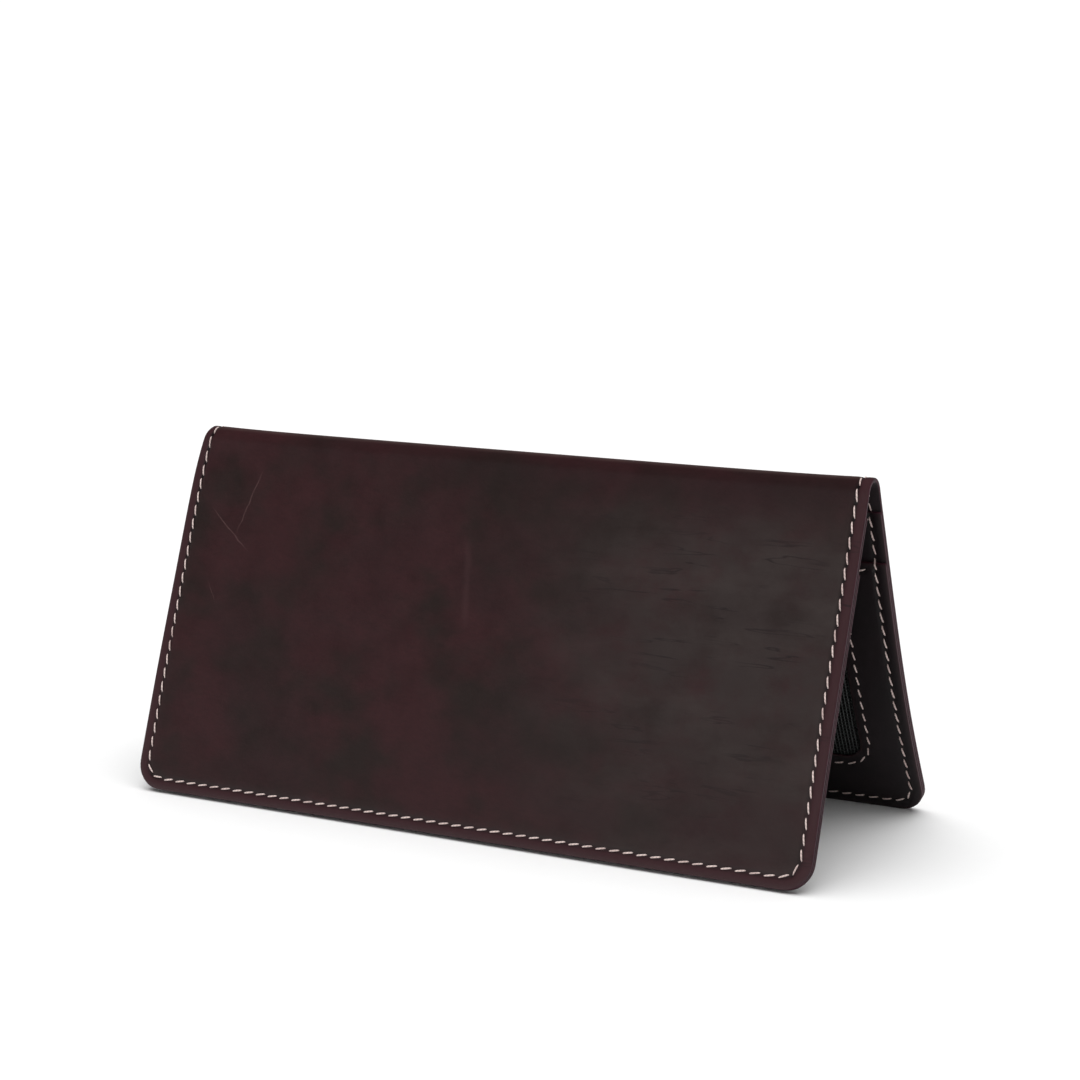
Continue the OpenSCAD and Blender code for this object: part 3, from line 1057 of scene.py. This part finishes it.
def card_pocket(node, sizes):
    """One card pocket, a slip of thin leather whose mouth stands a little off the leather behind."""
    side = 1 if node.startswith("back") else -1
    flat = FlatBox(node)
    cx, cy = flat.middle
    half_w, half_h = (flat.x1 - flat.x0) / 2, (flat.lower - flat.upper) / 2
    block = RoundRect(cx, side * cy, half_w, half_h, CARD_CORNER)
    seam_x = half_w - CARD_SEAM_INSET
    xs = cut_lines(flat.x0, flat.x1, CARD_GRID_STEP, (cx - seam_x, cx + seam_x))
    vs = cut_lines(flat.upper, flat.lower, CARD_GRID_STEP, ())
    bm = bmesh.new()
    flat_sheet(bm, xs, sorted(side * v for v in vs))
    thicken(bm, -flat.outer, -flat.inner, CARD_EDGE)
    # Only the lowest pocket is sewn along its foot
    sewn_foot = node.endswith("lower")

    def seam_gap(x, s):
        near = abs(abs(x - cx) - seam_x)
        return min(near, abs(flat.lower - CARD_SEAM_INSET - abs(s))) if sewn_foot else near

    piece = finish_leather(
        node + "_leather", bm, sizes, False, seam_gap, Holes([]), block.gap,
        lambda x, s: mouth_lift(sizes, x, flat.x0, flat.x1, abs(s) - flat.upper),
        leather_finishes("card"))
    add_piece(piece, node, side)


class WALLET_OT_card_pockets(bpy.types.Operator):
    """Lays the stepped card pockets, each one over the one above it"""

    bl_idname = "wallet.card_pockets"
    bl_label = "Card pockets"

    def execute(self, context):
        for node in sorted(frame["nodes"]):
            if "_card_pocket_" in node:
                card_pocket(node, context.scene.wallet_sizes)
        return {"FINISHED"}


def level(height):
    """A face that has one height all over."""
    return lambda s: height


def inner_face(side):
    """The height of the visible inner face at a place on a panel, down its steps."""
    bill = FlatBox("front_bill_pocket" if side < 0 else "back_bill_pocket")
    inner = FlatBox("card_panel" if side < 0 else "window_pocket")

    def height(s):
        if abs(s) < bill.upper:
            return -section.cover_t
        return -bill.inner if abs(s) < inner.upper else -inner.inner

    return height


def card_face(layers):
    """The height of the visible face at a place on a column of card pockets, down its steps."""

    def height(s):
        covering = [layer.inner for layer in layers if layer.upper <= abs(s)]
        return -(covering[-1] if covering else layers[0].outer)

    return height


def split_runs(points, keep):
    """The stretches of a seam whose stitches all satisfy keep(middle of the stitch)."""
    runs, run = [], []
    for start, end in zip(points, points[1:]):
        if keep((start + end) / 2):
            run = run or [start]
            run.append(end)
        elif run:
            runs.append(run)
            run = []
    return runs + [run] if run else runs


def sew_on(name, sizes, runs, side):
    """Sews a seam that stays on one panel."""
    add_piece(thread_piece(name + "_stitches", sizes, runs), name + "_thread", side)


class WALLET_OT_edge_seam(bpy.types.Operator):
    """Sews the edge seam round both panels, and over the fold at both ends"""

    bl_idname = "wallet.edge_seam"
    bl_label = "Edge seam"

    def execute(self, context):
        sizes = context.scene.wallet_sizes
        holes = edge_seam(sizes)
        holes.append(holes[0])
        for side, name in ((-1, "front_edge"), (1, "back_edge")):
            runs = []
            for run in split_runs(holes, lambda m, side=side: m.y * side > SPINE_RUN):
                runs += [(run, level(0.0), True), (run, inner_face(side), False)]
            sew_on(name, sizes, runs, side)
        runs = []
        for run in split_runs(holes, lambda m: abs(m.y) <= SPINE_RUN):
            runs += [(run, level(0.0), True), (run, level(-section.cover_t), False)]
        spine = thread_piece("spine_stitches", sizes, runs)
        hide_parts("spine_thread")
        fold_over(spine)
        return {"FINISHED"}


class WALLET_OT_lip_seams(bpy.types.Operator):
    """Sews along the lips of the bill pockets, the card panel and the window pocket"""

    bl_idname = "wallet.lip_seams"
    bl_label = "Lip seams"

    def execute(self, context):
        sizes = context.scene.wallet_sizes
        lift = mouth_lift(sizes, 0, -section.half_length, section.half_length, LIP_SEAM_DROP)
        for name, node, side in (
            ("front_bill_lip", "front_bill_pocket", -1),
            ("back_bill_lip", "back_bill_pocket", 1),
            ("card_panel_lip", "card_panel", -1),
            ("window_pocket_lip", "window_pocket", 1),
        ):
            flat = FlatBox(node)
            holes = lip_holes(sizes, flat.upper + LIP_SEAM_DROP, side)
            # One height for the whole seam: a little under the mouth's highest place
            face = level(-flat.inner - 0.6 * lift)
            sew_on(name, sizes, [(holes, face, False)], side)
        return {"FINISHED"}


class WALLET_OT_window_seam(bpy.types.Operator):
    """Sews the net to the leather round the window opening"""

    bl_idname = "wallet.window_seam"
    bl_label = "Window seam"

    def execute(self, context):
        sizes = context.scene.wallet_sizes
        holes = window_opening(sizes).grown(WINDOW_SEAM_GAP).points(sizes.stitch)
        holes.append(holes[0])
        face = level(-FlatBox("window_pocket").inner)
        sew_on("window_frame", sizes, [(holes, face, False)], 1)
        return {"FINISHED"}


class WALLET_OT_card_seams(bpy.types.Operator):
    """Sews each column of card pockets down its sides and along its foot"""

    bl_idname = "wallet.card_seams"
    bl_label = "Card seams"

    def execute(self, context):
        sizes = context.scene.wallet_sizes
        for stem, side in (("front_left", -1), ("front_right", -1), ("back", 1)):
            layers = [FlatBox(f"{stem}_card_pocket_{step}") for step in ("upper", "middle", "lower")]
            lowest = layers[-1]
            left, right = lowest.x0 + CARD_SEAM_INSET, lowest.x1 - CARD_SEAM_INSET
            foot = side * (lowest.lower - CARD_SEAM_INSET)
            face = card_face(layers)
            runs = [(straight_seam((left, foot), (right, foot), sizes.stitch), face, False)]
            for x in (left, right):
                top = side * (layers[0].upper + CARD_SEAM_START)
                runs.append((straight_seam((x, top), (x, foot), sizes.stitch), face, False))
            sew_on(stem + "_card", sizes, runs, side)
        return {"FINISHED"}


# ---- stage ----

# The camera stands this far round to the right of straight in front, and this far above level
VIEW_AZIMUTH, VIEW_ELEVATION, VIEW_ROLL = (math.radians(angle) for angle in (29.69, 11.51, -0.93))
VIEW_DISTANCE, VIEW_LENS = 0.6687, 89.67
VIEW_TARGET = Vector((5.8 * MM, 0, 67.9 * MM))
# The paper lies flat to this radius, and rises evenly from there to its edge
FLOOR_HALF, FLOOR_FLAT, FLOOR_RISE = 60, 4, 0.18
WORLD_STRENGTH = 0.12
SOFTBOX_PLACE, SOFTBOX_SIZE, SOFTBOX_POWER = Vector((-0.10, -1.35, 0.62)), (0.45, 0.5), 1.0
SILK_STRENGTH, SILK_SPREAD = 3.3, math.radians(80)


def link_new(name, data):
    """A new object in the scene that holds a camera or a lamp."""
    made = bpy.data.objects.new(name, data)
    bpy.context.scene.collection.objects.link(made)
    return made


def place_camera(scene):
    """Looks at the wallet from its front and right, from a little above."""
    lens = bpy.data.cameras.new("camera")
    lens.lens = VIEW_LENS
    lens.sensor_width = 36
    lens.clip_start, lens.clip_end = 0.01, 1000
    scene.camera = link_new("camera", lens)
    reach = math.cos(VIEW_ELEVATION)
    back = Vector((
        math.sin(VIEW_AZIMUTH) * reach, -math.cos(VIEW_AZIMUTH) * reach, math.sin(VIEW_ELEVATION)))
    turn = back.to_track_quat("Z", "Y").to_matrix().to_4x4() @ Matrix.Rotation(VIEW_ROLL, 4, "Z")
    scene.camera.matrix_world = Matrix.Translation(VIEW_TARGET + back * VIEW_DISTANCE) @ turn


def lay_paper():
    """Lays wide pale paper under the wallet."""
    bm = bmesh.new()
    bmesh.ops.create_grid(bm, x_segments=60, y_segments=60, size=FLOOR_HALF)
    for vert in bm.verts:
        vert.co.z = FLOOR_RISE * max(vert.co.length - FLOOR_FLAT, 0)
    make_object("floor", bm, [finish_of("paper")])


def light_room(scene):
    """Lights the wallet with a pale room, a softbox in front of it and a wide silk overhead."""
    world = bpy.data.worlds.new("soft studio")
    world.use_nodes = True
    feed(world.node_tree.nodes["Background"], {"Color": (1, 1, 1, 1), "Strength": WORLD_STRENGTH})
    scene.world = world
    softbox = bpy.data.lights.new("front softbox", "AREA")
    softbox.shape = "RECTANGLE"
    softbox.size, softbox.size_y = SOFTBOX_SIZE
    softbox.energy = SOFTBOX_POWER
    lamp = link_new("front softbox", softbox)
    lamp.location = SOFTBOX_PLACE
    aim = Vector((0, 0, 45 * MM)) - SOFTBOX_PLACE
    lamp.rotation_euler = aim.to_track_quat("-Z", "Y").to_euler()
    overhead = bpy.data.lights.new("overhead silk", "SUN")
    overhead.energy = SILK_STRENGTH
    overhead.angle = SILK_SPREAD
    # Crossed polarisers take this light's glare off the leather
    link_new("overhead silk", overhead).visible_glossy = False


class WALLET_OT_stage(bpy.types.Operator):
    """Sets up the camera, the pale floor and soft studio light"""

    bl_idname = "wallet.stage"
    bl_label = "Stage"

    def execute(self, context):
        scene = context.scene
        place_camera(scene)
        lay_paper()
        light_room(scene)
        scene.view_settings.view_transform = "Standard"
        return {"FINISHED"}


class WALLET_PT_builder(bpy.types.Panel):
    """Lists the wallet's pieces and settings"""

    bl_label = "Long Wallet"
    bl_idname = "WALLET_PT_builder"
    bl_space_type = "VIEW_3D"
    bl_region_type = "UI"
    bl_category = "Wallet"

    def draw(self, context):
        layout = self.layout
        for operator in BUILD_ORDER:
            layout.operator(operator.bl_idname)
        for group in (context.scene.wallet_sizes, context.scene.wallet_colours):
            box = layout.box()
            for name in group.__annotations__:
                box.prop(group, name)


BUILD_ORDER = (
    WALLET_OT_stage,
    WALLET_OT_cover,
    WALLET_OT_bill_pockets,
    WALLET_OT_card_panel,
    WALLET_OT_window_pocket,
    WALLET_OT_window_net,
    WALLET_OT_card_pockets,
    WALLET_OT_edge_seam,
    WALLET_OT_lip_seams,
    WALLET_OT_window_seam,
    WALLET_OT_card_seams,
)
CLASSES = (WalletSizes, WalletColours, *BUILD_ORDER, WALLET_PT_builder)


def register():
    for cls in CLASSES:
        bpy.utils.register_class(cls)
    bpy.types.Scene.wallet_sizes = bpy.props.PointerProperty(type=WalletSizes)
    bpy.types.Scene.wallet_colours = bpy.props.PointerProperty(type=WalletColours)


def unregister():
    del bpy.types.Scene.wallet_colours
    del bpy.types.Scene.wallet_sizes
    for cls in reversed(CLASSES):
        bpy.utils.unregister_class(cls)


def main():
    register()
    for operator in BUILD_ORDER:
        getattr(bpy.ops.wallet, operator.bl_idname.removeprefix("wallet."))()
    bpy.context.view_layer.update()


if __name__ == "__main__":
    main()
